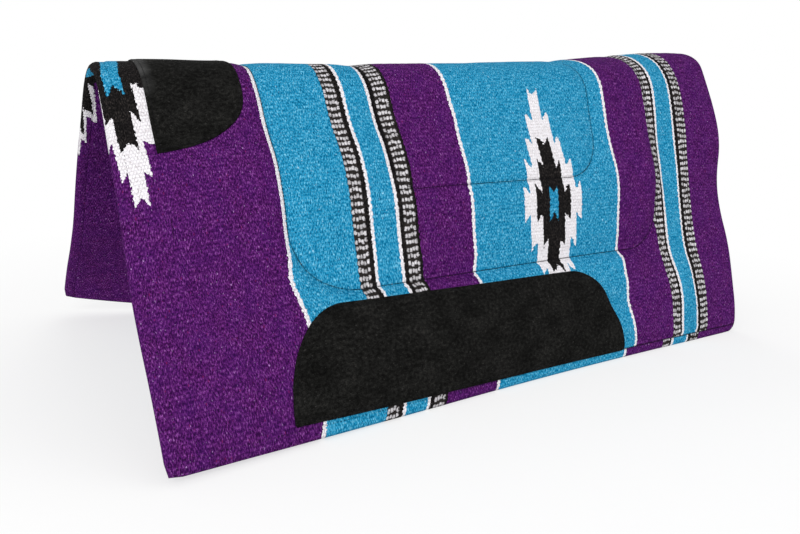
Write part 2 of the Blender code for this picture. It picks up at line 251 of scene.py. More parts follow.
def smoothRelief(u, t):
    # seams pull the cloth in, and the whole blanket has slow waves; every layer follows both
    s = np.abs(t)
    outer, seat = insideBoth(u, t)
    down = np.minimum(s / outerSeam["drop"], 1.0) ** 2
    depth = outerSeam["depthAtSpine"] + (outerSeam["depth"] - outerSeam["depthAtSpine"]) * down
    relief = -depth * bell(outer, np.where(outer > 0, valleyWidth, valleyWidth / 2))
    for foldU, foldS, reachU, reachS, height in folds:
        relief += height * bell(u - foldU, reachU) * bell(s - foldS, reachS)
    relief -= seatSeam["depth"] * bell(seat, valleyWidth)
    free = np.clip((halfWidth - s) / waves["stillHem"], 0.0, 1.0)
    for depth, size, seed in waves["sizes"]:
        relief += free * depth * softNoise(u, t, size, seed)
    return relief


def onCloth(u, t, lift):
    # points lift above the smooth outer face, with the normals there
    u, t = np.asarray(u, float), np.asarray(t, float)
    s, side, flat = np.abs(t), np.where(t <= 0, -1.0, 1.0), np.zeros_like(u)
    reach, height, lean = (np.where(t <= 0, readTable(near, u, s), readTable(far, u, s))
                           for near, far in zip(tables[-1], tables[1]))
    beyond = np.maximum(s - halfWidth, 0.0)
    normal = np.stack([flat, side * np.sin(lean), np.cos(lean)], -1)
    down = np.stack([flat, side * np.cos(lean), -np.sin(lean)], -1)
    point = np.stack([u - cloth["length"] / 2, reach + spineY, height], -1)
    point = point + normal * (smoothRelief(u, t) + lift)[..., None] + down * beyond[..., None]
    point[..., 2] = np.maximum(point[..., 2], 0.0)
    return point, normal


# Outlines on the flat cloth, anticlockwise

def arc(centerU, centerT, radius, start, steps, stretch=1.0):
    angles = np.radians(start + np.linspace(0.0, 90.0, steps + 1))
    return pair(centerU + radius * np.cos(angles), centerT + stretch * radius * np.sin(angles))


def panelOutline(front, rear, drop, frontCorner, rearCorner, steps=14):
    frontU, frontT = front + frontCorner, drop - frontCorner
    rearU, rearT = rear - rearCorner, drop - rearCorner
    return np.concatenate([arc(rearU, rearT, rearCorner, 0, steps),
                           arc(frontU, frontT, frontCorner, 90, steps),
                           arc(frontU, -frontT, frontCorner, 180, steps),
                           arc(rearU, -rearT, rearCorner, 270, steps)])


def sideOutline(side):
    # the upper corners are quarters of an ellipse as tall as the straight sides; the upper edge
    # bows up a little between them, and the whole piece runs down a little to the rear
    front, rear = sideLeather["front"], sideLeather["front"] + sideLeather["length"]
    big, (frontSmall, rearSmall) = sideLeather["topCorner"], sideLeather["bottomCorners"]
    lowSteps, topSteps = sideLeather["cornerSteps"]
    frontT, rearT = sideLow - frontSmall, sideLow - rearSmall
    frontStretch, rearStretch = (frontT - sideTop) / big, (rearT - sideTop) / big
    outline = np.concatenate([
        arc(rear - rearSmall, rearT, rearSmall, 0, lowSteps),
        arc(front + frontSmall, frontT, frontSmall, 90, lowSteps),
        arc(front + big, frontT, big, 180, topSteps, frontStretch)[1:],
        arc(rear - big, rearT, big, 270, topSteps, rearStretch)[:-1]])
    share = (outline[:, 0] - front) / sideLeather["length"]
    up = (sideLow - outline[:, 1]) / sideLeather["height"]
    bow = up * (1 - (2 * share - 1) ** 2 * sideLeather["bowEnds"])
    outline[:, 1] += sideLeather["slant"] * share - sideLeather["bow"] * bow
    return outline if side > 0 else outline[::-1] * (1, -1)


def witherOutline():
    # round the rear edge from the spine down to the front corner, and mirrored
    front = witherLeather["front"]
    corner = (witherLeather["drop"], front + witherLeather["slant"])
    edge = np.array(witherLeather["rear"] + (corner,))
    length = runningSum(np.hypot(*np.diff(edge, axis=0).T))
    at = np.linspace(0.0, length[-1], witherLeather["points"])
    path = pair(np.interp(at, length, edge[:, 1]), np.interp(at, length, edge[:, 0]))
    for _ in range(witherLeather["smoothing"]):
        path[1:-1] = (path[:-2] + 2 * path[1:-1] + path[2:]) / 4
    return np.concatenate([path[:0:-1] * (1, -1), path, [(front, 0.0)]])


def edgeDistance(u, t, outline):
    # distance from each place to the nearest point of a closed outline
    points = pair(np.ravel(u), np.ravel(t))
    best = np.full(len(points), np.inf)
    for start, end in zip(outline, np.roll(outline, -1, axis=0)):
        run = end - start
        if run @ run < tiny ** 2:
            continue
        share = np.clip((points - start) @ run / (run @ run), 0.0, 1.0)
        best = np.minimum(best, np.linalg.norm(points - start - share[:, None] * run, axis=1))
    return best.reshape(np.shape(u))


def insideOutline(u, t, outline):
    inside = np.ones(np.shape(u), bool)
    for (au, at), (bu, bt) in zip(outline, np.roll(outline, -1, axis=0)):
        inside &= (bu - au) * (t - at) - (bt - at) * (u - au) >= -tiny
    return inside


leatherOutlines = [witherOutline(), sideOutline(-1), sideOutline(1)]

# Fine relief of the outer cloth: gathers beside the stitching, and a groove under it
stitching = {
    "gather": 0.0006, "gatherSize": 0.013, "gatherReach": 0.014, "gatherSeeds": (5, 6),
    "groove": 0.0012, "grooveWidth": 0.0032, "hemGroove": 0.0014,
    "hemSwell": 0.0012, "swellPlace": 0.007, "swellReach": 0.005,    # between hem groove and edge
}


def gathers(u, t, seed, *distances):
    near = sum(bell(distance, stitching["gatherReach"]) for distance in distances)
    return stitching["gather"] * near * softNoise(u, t, stitching["gatherSize"], seed)


def fineRelief(u, t):
    hem = np.minimum(np.minimum(u, cloth["length"] - u), halfWidth - np.abs(t)) - cloth["hemBand"]
    lines = (*insideBoth(u, t), hem)
    relief = gathers(u, t, stitching["gatherSeeds"][0], *lines)
    for distance, groove in zip(lines, ("groove", "groove", "hemGroove")):
        relief -= stitching[groove] * bell(distance, stitching["grooveWidth"])
    relief += stitching["hemSwell"] * bell(hem + stitching["swellPlace"], stitching["swellReach"])
    for outline in leatherOutlines:
        low, high = outline.min(axis=0) - tiny, outline.max(axis=0) + tiny
        near = (u > low[0]) & (u < high[0]) & (t > low[1]) & (t < high[1])
        covered = np.zeros(np.shape(u), bool)
        covered[near] = insideOutline(u[near], t[near], outline)
        relief = np.where(covered, np.minimum(relief, 0.0), relief)
    return relief


# Meshes

def addPiece(name, points, faces, flat, material):
    mesh = bpy.data.meshes.new(name)
    mesh.from_pydata(points.tolist(), [], faces)
    layer = mesh.uv_layers.new(name="flatPattern")
    corners = np.empty(len(mesh.loops), np.int32)
    mesh.loops.foreach_get("vertex_index", corners)
    layer.data.foreach_set("uv", np.asarray(flat, np.float32)[corners].ravel())
    mesh.materials.append(material)
    mesh.shade_smooth()
    mesh.validate()
    piece = bpy.data.objects.new(name, mesh)
    bpy.context.scene.collection.objects.link(piece)
    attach(piece, body)
    print("made", name, len(mesh.polygons), "faces")
    return piece


def quads(index, turned=False):
    # the faces of a grid of vertices
    corners = [index[:-1, :-1], index[1:, :-1], index[1:, 1:], index[:-1, 1:]]
    if turned:
        corners[1], corners[3] = corners[3], corners[1]
    return np.stack(corners, -1).reshape(-1, 4).tolist()


def rim(index):
    # the vertices round the border of a grid
    return np.concatenate([index[:-1, 0], index[-1, :-1], index[:0:-1, -1], index[0, :0:-1]])


def band(upper, lower):
    return np.stack([upper, lower, np.roll(lower, -1), np.roll(upper, -1)], -1).tolist()


def evenLines(low, high, step):
    count = 2 * math.ceil((high - low) / step / 2)
    return np.linspace(low, high, count + 1)


def roundCorners(u, t, inset):
    # draws the corner squares of the grid in to arcs, and says which way the edge faces there
    atFront = u < cloth["length"] / 2
    cut, sharp = (np.where(atFront, *cloth[key]) for key in ("cornerCut", "cornerSharp"))
    du = np.minimum(u - inset, cloth["length"] - inset - u)
    dt = halfWidth - inset - np.abs(t)
    a, b = np.maximum(cut - du, 0.0), np.maximum(cut - dt, 0.0)
    far, size = np.hypot(a, b), np.maximum(a, b)
    move = 1 - np.where(far > 0, size / np.maximum(far, tiny), 1.0)
    both = (a > 0) & (b > 0)
    outU, outT = np.where(atFront, -1.0, 1.0), np.sign(t)
    newU = np.where(both, u - outU * a * move, u)
    newT = np.where(both, t - outT * b * move, t)
    faceU = np.where(both, a, du < tiny) * outU
    faceT = np.where(both, b, dt < tiny) * outT
    length = np.maximum((np.abs(faceU) ** sharp + np.abs(faceT) ** sharp) ** (1 / sharp), tiny)
    return newU, newT, faceU / length, faceT / length


def makeSheet(name, material, size, faceLift, rings, backLift, flip=False):
    # A closed sheet: a fine face, rings round the edge, and a back with every second line.
    # A ring is (outwards, depth, length of cloth from the border of the fine face).
    inset, step = size["inset"], size["step"]
    along = evenLines(inset, cloth["length"] - inset, step)
    across = evenLines(inset - halfWidth, halfWidth - inset, step)
    u, t, faceU, faceT = roundCorners(*np.meshgrid(along, across, indexing="ij"), inset)
    index = np.arange(u.size).reshape(u.shape)
    loops = [rim(index)]
    borderU, borderT, outU, outT = (grid.ravel()[loops[0]] for grid in (u, t, faceU, faceT))
    backU, backT = u[::2, ::2], t[::2, ::2]
    points, flats = [], []

    def lay(u, t, lift, flatU, flatT):
        points.append(onCloth(u, t, lift)[0].reshape(-1, 3))
        flats.append(pair(flatU, flatT).reshape(-1, 2))

    lay(u, t, faceLift(u, t), u, t)
    for outwards, depth, run in rings:
        loops.append(u.size + (len(loops) - 1) * borderU.size + np.arange(borderU.size))
        lay(borderU + outU * outwards, borderT + outT * outwards, -depth,
            borderU + outU * run, borderT + outT * run)
    lay(backU, backT, backLift(backU, backT), backU, backT)
    back = loops[-1][-1] + 1 + np.arange(backU.size).reshape(backU.shape)
    faces = quads(index) + quads(back, turned=True)
    for upper, lower in zip(loops, loops[1:]):
        faces += band(upper, lower)
    last, backLoop = loops[-1], rim(back)
    for k in range(len(backLoop)):
        a, b, c = last[2 * k], last[2 * k + 1], last[(2 * k + 2) % len(last)]
        d, e = backLoop[k], backLoop[(k + 1) % len(backLoop)]
        faces += [[a, d, b], [b, d, e], [b, e, c]]
    if flip:
        faces = [face[::-1] for face in faces]
    return addPiece(name, np.concatenate(points), faces, np.concatenate(flats), material)


def spread(length, insets, count):
    # places from 0 to length: close together at both ends, even between them
    insets = np.asarray(insets) * min(1.0, length / (3 * insets[-1]))
    middle = np.linspace(insets[-1], length - insets[-1], count)
    return np.concatenate([insets[:-1], middle, length - insets[-2::-1]])


def spanAt(outline, t):
    # where an outline begins and ends at a distance across the cloth
    a, b = outline, np.roll(outline, -1, axis=0)
    crosses = (a[:, 1] - t) * (b[:, 1] - t) <= tiny ** 2
    a, b = a[crosses], b[crosses]
    rise = b[:, 1] - a[:, 1]
    slopes = np.abs(rise) > tiny
    share = np.where(slopes, (t - a[:, 1]) / np.where(slopes, rise, 1.0), 0.0)
    places = np.concatenate([a[:, 0] + share * (b[:, 0] - a[:, 0]), b[~slopes, 0]])
    return places.min(), places.max()


def makePatch(name, material, outline, size, upper, lower):
    # a piece cut to an outline and laid on the cloth; upper and lower give its lift from
    # the place and the distance to its edge
    insets, step, sliver = size["insets"], size["step"], 1e-7
    low, high = outline.min(axis=0), outline.max(axis=0)
    countU, countT = (math.ceil(length / step) + 1 for length in high - low)
    rows = low[1] + spread(high[1] - low[1], insets, countT)
    spans = [spanAt(outline, row) for row in np.clip(rows, low[1] + sliver, high[1] - sliver)]
    u = np.array([start + spread(end - start, insets, countU) for start, end in spans])
    t = np.repeat(rows[:, None], u.shape[1], axis=1)
    edge = edgeDistance(u, t, outline)
    points = [onCloth(u, t, face(u, t, edge))[0].reshape(-1, 3) for face in (upper, lower)]
    index = np.arange(u.size).reshape(u.shape)
    loop = rim(index.T)
    faces = quads(index, turned=True) + quads(index + u.size) + band(loop, loop + u.size)
    flat = np.tile(pair(u, t).reshape(-1, 2), (2, 1))
    return addPiece(name, np.concatenate(points), faces, flat, material)


def walkPath(path, pitch):
    # even places along a closed path on the flat cloth
    path = np.concatenate([path, path[:1]])
    length = runningSum(np.hypot(*np.diff(path, axis=0).T))
    count = round(length[-1] / pitch)

    def place(share):
        at = share / count * length[-1]
        return np.interp(at, length, path[:, 0]), np.interp(at, length, path[:, 1])
    return count, place


def insetPath(outline, inset):
    run = np.roll(outline, -1, axis=0) - np.roll(outline, 1, axis=0)
    inwards = pair(-run[:, 1], run[:, 0]) / np.maximum(np.hypot(*run.T), tiny)[:, None]
    return outline + inwards * inset


# a stitch by its stations: how far each stands off the cloth and its size, in thread radii
stitch = {"sides": 6, "tip": 0.6, "rise": (-0.9, 0.35, 0.6, 0.35, -0.9),
          "size": (0.6, 1.0, 1.05, 1.0, 0.6)}


def makeStitches(name, material, runs, thread):
    # Each stitch is a short length of thread that dives into the cloth at both ends. A run is
    # (path, lift of the cloth there, 1 on the outer face or -1 on the inner one).
    sides, stations = stitch["sides"], len(stitch["rise"])
    rise, size = (np.array(stitch[key]) * thread["radius"] for key in ("rise", "size"))
    angles = np.arange(sides) * 2 * math.pi / sides
    gap = thread["gap"] / thread["pitch"] / 2
    points, flats = [], []
    for path, lift, facing in runs:
        count, place = walkPath(path, thread["pitch"])
        u, t = place(np.arange(count)[:, None] + np.linspace(gap, 1 - gap, stations)[None, :])
        center, normal = onCloth(u, t, lift(u, t) + facing * rise)
        normal = normal * facing
        run = np.gradient(center, axis=1)
        run /= np.linalg.norm(run, axis=2, keepdims=True)
        across = np.cross(normal, run)
        ring = (center[:, :, None] + size[None, :, None, None]
                * (np.cos(angles)[None, None, :, None] * across[:, :, None]
                   + np.sin(angles)[None, None, :, None] * normal[:, :, None]))
        reach = run[:, [0, -1]] * size[[0, -1], None] * stitch["tip"]
        tips = center[:, [0, -1]] + reach * ((-1,), (1,))
        points.append(np.concatenate([ring.reshape(count, -1, 3), tips], axis=1).reshape(-1, 3))
        flat = pair(np.repeat(u, sides, axis=1), np.repeat(t, sides, axis=1))
        flats.append(np.concatenate([flat, flat[:, [0, -1]]], axis=1).reshape(-1, 2))
    points, flats = np.concatenate(points), np.concatenate(flats)
    rings = np.arange(stations * sides).reshape(stations, sides)
    one = [[lower[m], lower[n], upper[n], upper[m]] for lower, upper in zip(rings, rings[1:])
           for m, n in zip(range(sides), np.roll(range(sides), -1))]
    first, last, tip = rings[0], rings[-1], rings.size
    caps = [[tip, first[(m + 1) % sides], first[m]] for m in range(sides)]
    caps += [[tip + 1, last[m], last[(m + 1) % sides]] for m in range(sides)]
    starts = np.arange(len(points) // (tip + 2)) * (tip + 2)
    faces = (np.array(one)[None] + starts[:, None, None]).reshape(-1, 4).tolist()
    faces += (np.array(caps)[None] + starts[:, None, None]).reshape(-1, 3).tolist()
    return addPiece(name, points, faces, flats, material)


# Nodes: a value is a number or a socket, and a new node joins the tree of its first socket

def tone(red, green, blue):
    # a colour as it looks, 0 to 255, as the linear value that a shader takes
    def linear(c):
        c = c / 255
        return c / 12.92 if c <= 0.04045 else ((c + 0.055) / 1.055) ** 2.4
    return (linear(red), linear(green), linear(blue), 1.0)


def nodeFor(kind, *values):
    tree = next(value.id_data for value in values if isinstance(value, bpy.types.NodeSocket))
    return tree.nodes.new("ShaderNode" + kind)


def put(socket, value):
    if isinstance(value, bpy.types.NodeSocket):
        socket.id_data.links.new(value, socket)
    else:
        socket.default_value = value


def calc(operation, a, b=0.0, c=0.0):
    node = nodeFor("Math", a, b, c)
    node.operation = operation
    for socket, value in zip(node.inputs, (a, b, c)):
        put(socket, value)
    return node.outputs[0]


plus, minus, times, over, timesPlus, power = (partial(calc, name) for name in (
    "ADD", "SUBTRACT", "MULTIPLY", "DIVIDE", "MULTIPLY_ADD", "POWER"))
least, most, above, unsigned, whole, fraction = (partial(calc, name) for name in (
    "MINIMUM", "MAXIMUM", "GREATER_THAN", "ABSOLUTE", "FLOOR", "FRACT"))


def shaken(value, noise, amount):
    # a value moved by noise, up to half the amount each way
    return timesPlus(minus(noise, 0.5), amount, value)


def weighted(first, *others):
    # the sum of values, each given with its share
    total = times(*first)
    for value, share in others:
        total = timesPlus(value, share, total)
    return total


def paint(amount, under, upper):
    node = nodeFor("Mix", amount, under, upper)
    node.data_type = "RGBA"
    for k, value in ((0, amount), (6, under), (7, upper)):
        put(node.inputs[k], value)
    return node.outputs[2]


def ramp(value, stops):
    node = nodeFor("ValToRGB", value)
    elements = node.color_ramp.elements
    while len(elements) < len(stops):
        elements.new(1.0)
    for element, (place, color) in zip(elements, stops):
        element.position = place
        element.color = color
    put(node.inputs[0], value)
    return node.outputs[0]


def greyRamp(value, stops):
    return ramp(value, [(place, (grey, grey, grey, 1.0)) for place, grey in stops])


def toneRamp(value, stops):
    return ramp(value, [(place, tone(*color)) for place, color in stops])


def joined(x, y, z=0.0):
    node = nodeFor("CombineXYZ", x, y, z)
    for socket, value in zip(node.inputs, (x, y, z)):
        put(socket, value)
    return node.outputs[0]


def grain(u, t, sizeU, sizeT, seed, detail, contrast):
    # noise of its own size along and across, spread round one half
    node = nodeFor("TexNoise", u)
    put(node.inputs["Vector"], joined(over(u, sizeU), over(t, sizeT), seed))
    node.inputs["Scale"].default_value = 1.0
    node.inputs["Detail"].default_value = detail
    return least(most(timesPlus(node.outputs[0], contrast, 0.5 - 0.5 * contrast), 0.0), 1.0)


def grains(u, t, table):
    return {name: grain(u, t, *sizes) for name, sizes in table.items()}


def whiteNoise(x, y, seed):
    # three values of their own for each whole x and y
    node = nodeFor("TexWhiteNoise", x)
    put(node.inputs["Vector"], joined(x, y, seed))
    split = nodeFor("SeparateColor", x)
    put(split.inputs[0], node.outputs["Color"])
    return split.outputs[:3]


def between(value, low, high):
    # 0 at low, 1 at high, smooth between them
    node = nodeFor("MapRange", value)
    node.interpolation_type = "SMOOTHSTEP"
    for name, item in (("Value", value), ("From Min", low), ("From Max", high)):
        put(node.inputs[name], item)
    return node.outputs["Result"]


def newMaterial(name, roughness, specular, sheen=0.0):
    material = bpy.data.materials.new(name)
    material.use_nodes = True
    shader = material.node_tree.nodes["Principled BSDF"]
    shader.inputs["Roughness"].default_value = roughness
    shader.inputs["Specular IOR Level"].default_value = specular
    shader.inputs["Sheen Weight"].default_value = sheen
    return material, shader


def flatPlace(shader):
    # u and t of a point, from the pattern map
    source = nodeFor("UVMap", shader.inputs[0])
    source.uv_map = "flatPattern"
    split = nodeFor("SeparateXYZ", shader.inputs[0])
    put(split.inputs[0], source.outputs[0])
    return split.outputs[0], split.outputs[1]


def cover(shader, color, height, relief):
    # gives a shader its colour and its bump
    node = nodeFor("Bump", height)
    node.inputs["Strength"].default_value = 1.0
    node.inputs["Distance"].default_value = relief
    put(node.inputs["Height"], height)
    put(shader.inputs["Base Color"], color)
    put(shader.inputs["Normal"], node.outputs["Normal"])


# Woven cloth

weave = {
    "beadWidth": 0.0031,     # one yarn over a warp, along the spine
    "warpPitch": 0.0039,
    "relief": 0.0006,
    "fiberRelief": 0.55,     # relief of fibres and of single beads, against the beads' domes
    "beadRelief": 0.4,
    "snap": 0.35,            # how far a colour's edge keeps to whole beads
    "ragged": 0.0050,        # how unevenly the figures' steps end
    "raggedLength": 0.034,   # length of a yarn that ends alike
    "fuzz": 0.0011,          # how far fibres stray over a colour's edge
    "wander": 0.0016,        # how far the whole pattern drifts from warp to warp
    # how much shade is painted into the crevices between beads
    "creviceShade": 0.16,
    "dark": (8, 6, 10),      # tone of the painted shade in crevices, seams, the crease and the hem's fold
    "line": 0.74,            # how dark the painted shade lines at the seams, the crease and the hem's fold are
    "seamLine": (0.00096, 0.00024),      # how near a seam its line of painted shade begins and is full
    "seamBlotch": (0.7, 0.35),           # how unevenly dark that painted line is, and its least
    # how far the soft shade painted beside a seam reaches, and how dark it is
    "seamReach": 0.0045,
    "seamShade": 0.13,
    "crease": (0.044, -0.228),           # the middle of a short pressed crease on the near flap, drawn as a line of painted shade
    "creaseU": (0.0011, 0.0),            # how near its middle it begins and is full
    "creaseT": (0.014, 0.0084),
    "hemShift": 0.005,       # how far forward the pattern is drawn where the edge turns
    "hemReach": 0.022,
    "hemFold": 0.0118,       # width of the turned band that shows along the hem
    # where the turned band folds, a line of painted shade: how near the fold it begins and is full
    "foldLine": (0.0019, 0.0003),
    "foldDark": (0.75, 0.20),            # how much darker that painted shade is at the rear, and its least
    "askew": 0.0195,         # how far forward that band is sewn at the rear
    "askewFrom": (0.40, 0.61),           # where this begins and is full
    "liningShift": (0.0224, 0.040),      # how far back and across the lining's pattern is read
    "liningEdge": -0.0035,   # where it wraps the front edge from
    "liningDrawn": 0.75,     # how much it is drawn in there
    # size along and across, seed, detail, contrast; wander is the same all along the spine
    "grains": {"fiber": (0.0012, 0.0031, 5.0, 1.5, 3.0), "tuft": (0.0036, 0.0060, 7.0, 1.0, 2.2),
               "fine": (0.0005, 0.0011, 6.0, 1.0, 2.4), "blotch": (0.012, 0.018, 2.0, 3.0, 1.6),
               "cast": (0.02, 0.03, 8.0, 2.0, 1.8), "slub": (0.0019, 0.0042, 14.0, 1.0, 1.0),
               "red": (0.0020, 0.0050, 15.0, 0.0, 1.0), "wander": (1e6, 0.05, 11.0, 2.0, 1.0)},
    # how much each makes the yarn's tone vary
    "shares": {"blotch": 0.12, "fine": 0.10, "tuft": 0.16, "fiber": 0.50},
    "beadShare": 0.12,
}

# where the woven pattern is out of true: middle along and down the flap, reach, shift to the rear
slips = ((0.740, 0.200, 0.030, 0.032, 0.0062), (0.386, 0.130, 0.018, 0.020, 0.0032),
         (0.155, 0.300, 0.025, 0.022, -0.0036), (0.252, 0.304, 0.030, 0.018, -0.0022),
         (0.386, 0.322, 0.025, 0.014, -0.0036), (0.631, 0.338, 0.025, 0.013, -0.0036),
         (0.763, 0.380, 0.022, 0.026, -0.0040))

# Tones of each yarn, from the darkest fibres to the lightest
yarns = {
    "purple": ((0.0, (24, 3, 32)), (0.3, (50, 11, 61)), (0.5, (78, 23, 90)),
               (0.7, (112, 46, 124)), (0.88, (152, 92, 164)), (1.0, (188, 140, 200))),
    "turquoise": ((0.0, (0, 62, 102)), (0.3, (12, 112, 154)), (0.5, (32, 142, 186)),
                  (0.7, (82, 174, 212)), (0.88, (138, 206, 232)), (1.0, (190, 230, 242))),
    "white": ((0.0, (190, 182, 184)), (0.3, (222, 217, 220)), (0.55, (239, 236, 241)),
              (1.0, (254, 252, 255))),
    "black": ((0.0, (6, 6, 6)), (0.35, (18, 17, 17)), (0.6, (31, 29, 29)),
              (0.85, (58, 53, 51)), (1.0, (96, 88, 84))),
}

# Other fibres spun into a yarn: the grain, its values from which they show and are full, or none
# where it serves as it is, their strength and tone
flecks = (("purple", "cast", (None, None), 0.30, (66, 24, 108)),
          ("purple", "slub", (0.67, 0.86), 1.0, (188, 146, 204)),
          ("turquoise", "slub", (0.67, 0.86), 1.0, (196, 232, 244)),
          ("purple", "red", (0.78, 0.82), 0.5, (134, 30, 84)))

# Checks: rungs of white beads with black yarn showing round each
rungs = {
    "bead": 0.0040,          # one white bead, along the spine
    "before": 0.002,         # how far ahead of a stripe its own count of beads begins
    "across": (0.5, -0.25),  # rungs to each warp, and where the first begins
    "size": (2.45, 3.5),     # larger for a smaller bead, along and across
    "power": (3.0, 2.4),     # larger for a squarer one
    "loose": 1.1,            # how unevenly the beads lie across
    "fuzz": 0.7,
    "uneven": 0.6,
    "edge": (1.7, 0.3),
    "white": (0.34, 0.54),   # how much the white varies from bead to bead, and its least
    "dusty": 0.18,
    "dust": (78, 72, 68),
}

# Stripes from the front edge to the rear: where each ends, and its yarn
stripes = ((0.1533, "purple"), (0.1577, "white"), (0.2292, "turquoise"), (0.2446, "checks"),
           (0.2501, "black"), (0.2538, "white"), (0.2822, "turquoise"), (0.2862, "white"),
           (0.2913, "black"), (0.3068, "checks"), (0.3103, "black"), (0.3839, "purple"),
           (0.3882, "white"), (0.6287, "turquoise"), (0.6328, "white"), (0.7095, "purple"),
           (0.7242, "checks"), (0.7277, "black"), (0.7320, "white"), (0.7616, "turquoise"),
           (0.7648, "white"), (0.7708, "black"), (0.7887, "checks"))

# Figures: each yarn's columns by their outer half width and half height, the distance of the
# middle from the spine, and the places of the middle line by distance across the cloth
flapFigure = {
    "axis": ((0.0, 0.513), (0.4, 0.513)), "s": 0.247, "notch": 0.010,
    "white": ((0.0079, 0.150), (0.0188, 0.119), (0.0284, 0.087), (0.0388, 0.056), (0.0482, 0.024)),
    "black": ((0.0104, 0.087), (0.0188, 0.055), (0.0289, 0.023)),
    "turquoise": ((0.0071, 0.021),)}
frontFigure = {
    "axis": ((0.0, 0.0180), (0.045, 0.0124), (0.06, 0.0128), (0.10, 0.0158), (0.17, 0.0193),
             (0.204, 0.0206)), "s": 0.0, "notch": 0.011,
    "white": ((0.0070, 0.204), (0.0140, 0.1755), (0.0290, 0.1405), (0.0380, 0.105)),
    "black": ((0.0087, 0.142), (0.0168, 0.108), (0.0300, 0.070), (0.0380, 0.036)),
    "turquoise": ((0.0084, 0.074),)}
liningFigure = {
    "axis": ((0.05, 0.0170), (0.0825, 0.0090), (0.14, 0.0174), (0.1775, 0.0195),
             (0.204, 0.0190)), "s": 0.0, "notch": 0.010,
    "white": ((0.0064, 0.201), (0.0112, 0.1775), (0.0215, 0.147)),
    "black": ((0.0094, 0.162), (0.0178, 0.134), (0.0225, 0.090)),
    "turquoise": ((0.0125, 0.072),)}

# how the figures' ramps are laid out: offset of the axis, widest column, gap between columns
figureRamp = {"offset": 0.1, "widest": 0.98, "beyond": 0.985, "gap": 0.004}


def figureMasks(u, s, figure):
    # 1 inside the white, the black and the turquoise of a stepped diamond with notched ends
    far, offset = figure["axis"][-1][0], figureRamp["offset"]
    stops = [(at / far, place + offset) for at, place in figure["axis"]]
    axis = minus(greyRamp(over(s, far), stops), offset)
    across, away = unsigned(minus(u, axis)), unsigned(minus(s, figure["s"]))
    masks = []
    for yarn in ("white", "black", "turquoise"):
        widest, tallest = figure[yarn][-1][0], figure[yarn][0][1]
        scale, stops, inner = figureRamp["widest"], [], 0.0
        for outer, height in figure[yarn]:
            notched = max(height - figure["notch"], 0.0)
            stops.append((inner / widest * scale, notched / tallest))
            stops.append(((outer / widest - figureRamp["gap"]) * scale, height / tallest))
            inner = outer
        stops.append((figureRamp["beyond"], 0.0))
        reach = greyRamp(times(across, scale / widest), stops)
        masks.append((yarn, above(reach, over(away, tallest))))
    return masks


def fromSeam(u, s, panel):
    # distance from the outline of a panel with rounded corners, as in insidePanel
    front, rear, drop, frontCorner, rearCorner = panel
    middle, half = (front + rear) / 2, (rear - front) / 2
    corner = timesPlus(above(u, middle), rearCorner - frontCorner, frontCorner)
    along = plus(minus(unsigned(minus(u, middle)), half), corner)
    across = plus(minus(s, drop), corner)
    outAlong, outAcross = most(along, 0.0), most(across, 0.0)
    outside = calc("SQRT", timesPlus(outAlong, outAlong, times(outAcross, outAcross)))
    return unsigned(minus(plus(outside, least(most(along, across), 0.0)), corner))


def rungPlace(u):
    # counts the white beads along each stripe of checks, whole numbers at both its edges
    total, start, first = 0.0, 0.0, 0.0
    for end, yarn in stripes:
        if yarn == "checks":
            count = round((end - start) / rungs["bead"])
            rate = count / (end - start)
            own = timesPlus(u, rate, first - start * count / (end - start))
            total = timesPlus(above(u, start - rungs["before"]), minus(own, total), total)
            first += count
        start = end
    return total


def beadPlaces(u, t):
    # beads lie like bricks, every second warp half a bead along
    warps = over(t, weave["warpPitch"])
    row = whole(warps)
    odd = calc("FLOORED_MODULO", row, 2.0)
    place = timesPlus(odd, 0.5, over(u, weave["beadWidth"]))
    bead = whole(place)
    center = times(minus(plus(bead, 0.5), times(odd, 0.5)), weave["beadWidth"])
    return {"warps": warps, "row": row, "bead": bead, "center": center,
            "across": fraction(place), "along": fraction(warps)}


def patternPlace(u, t, s, beads, noise, rearHem, lining):
    # where the pattern is read: a little towards the bead's middle, with fuzzy ends, moved where
    # the edge turns and where the weave is out of true
    readU = timesPlus(minus(beads["center"], u), weave["snap"], u)
    readU = plus(readU, timesPlus(noise["wander"], weave["wander"], -weave["wander"] / 2))
    readU = shaken(readU, noise["fiber"], weave["fuzz"])
    turning = between(s, halfWidth - weave["hemReach"], halfWidth)
    readU = timesPlus(turning, weave["hemShift"], readU)
    turnedBand = above(s, halfWidth - weave["hemFold"])
    readU = timesPlus(times(turnedBand, rearHem), weave["askew"], readU)
    for slipU, slipS, reachU, reachS, slip in slips:
        along = power(over(minus(u, slipU), reachU), 2.0)
        down = power(over(minus(s, slipS), reachS), 2.0)
        near = calc("EXPONENT", times(plus(along, down), -1.0))
        readU = timesPlus(near, -slip, readU)

    # the lining's pattern, also where it shows round the far front edge
    shiftU, shiftT = weave["liningShift"]
    if lining:
        asLining, readU = 1.0, plus(readU, shiftU)
    else:
        edge = weave["liningEdge"]
        asLining = times(calc("LESS_THAN", u, edge), above(t, 0.0))
        turned = timesPlus(minus(edge, readU), weave["liningDrawn"], shiftU)
        readU = timesPlus(asLining, minus(turned, readU), readU)
    pick = whiteNoise(beads["bead"], whole(over(s, weave["raggedLength"])), seed=9.0)[0]
    readS = shaken(unsigned(timesPlus(asLining, shiftT, t)), pick, weave["ragged"])
    return readU, readS, asLining


def yarnColors(noise, tint):
    # each yarn has its own tones, fibre by fibre
    shares = [(noise[name], share) for name, share in weave["shares"].items()]
    value = weighted((tint, weave["beadShare"]), *shares)
    colors = {yarn: toneRamp(value, tones) for yarn, tones in yarns.items()}
    for yarn, name, (start, full), strength, color in flecks:
        amount = noise[name] if start is None else between(noise[name], start, full)
        colors[yarn] = paint(times(amount, strength), colors[yarn], tone(*color))
    return colors


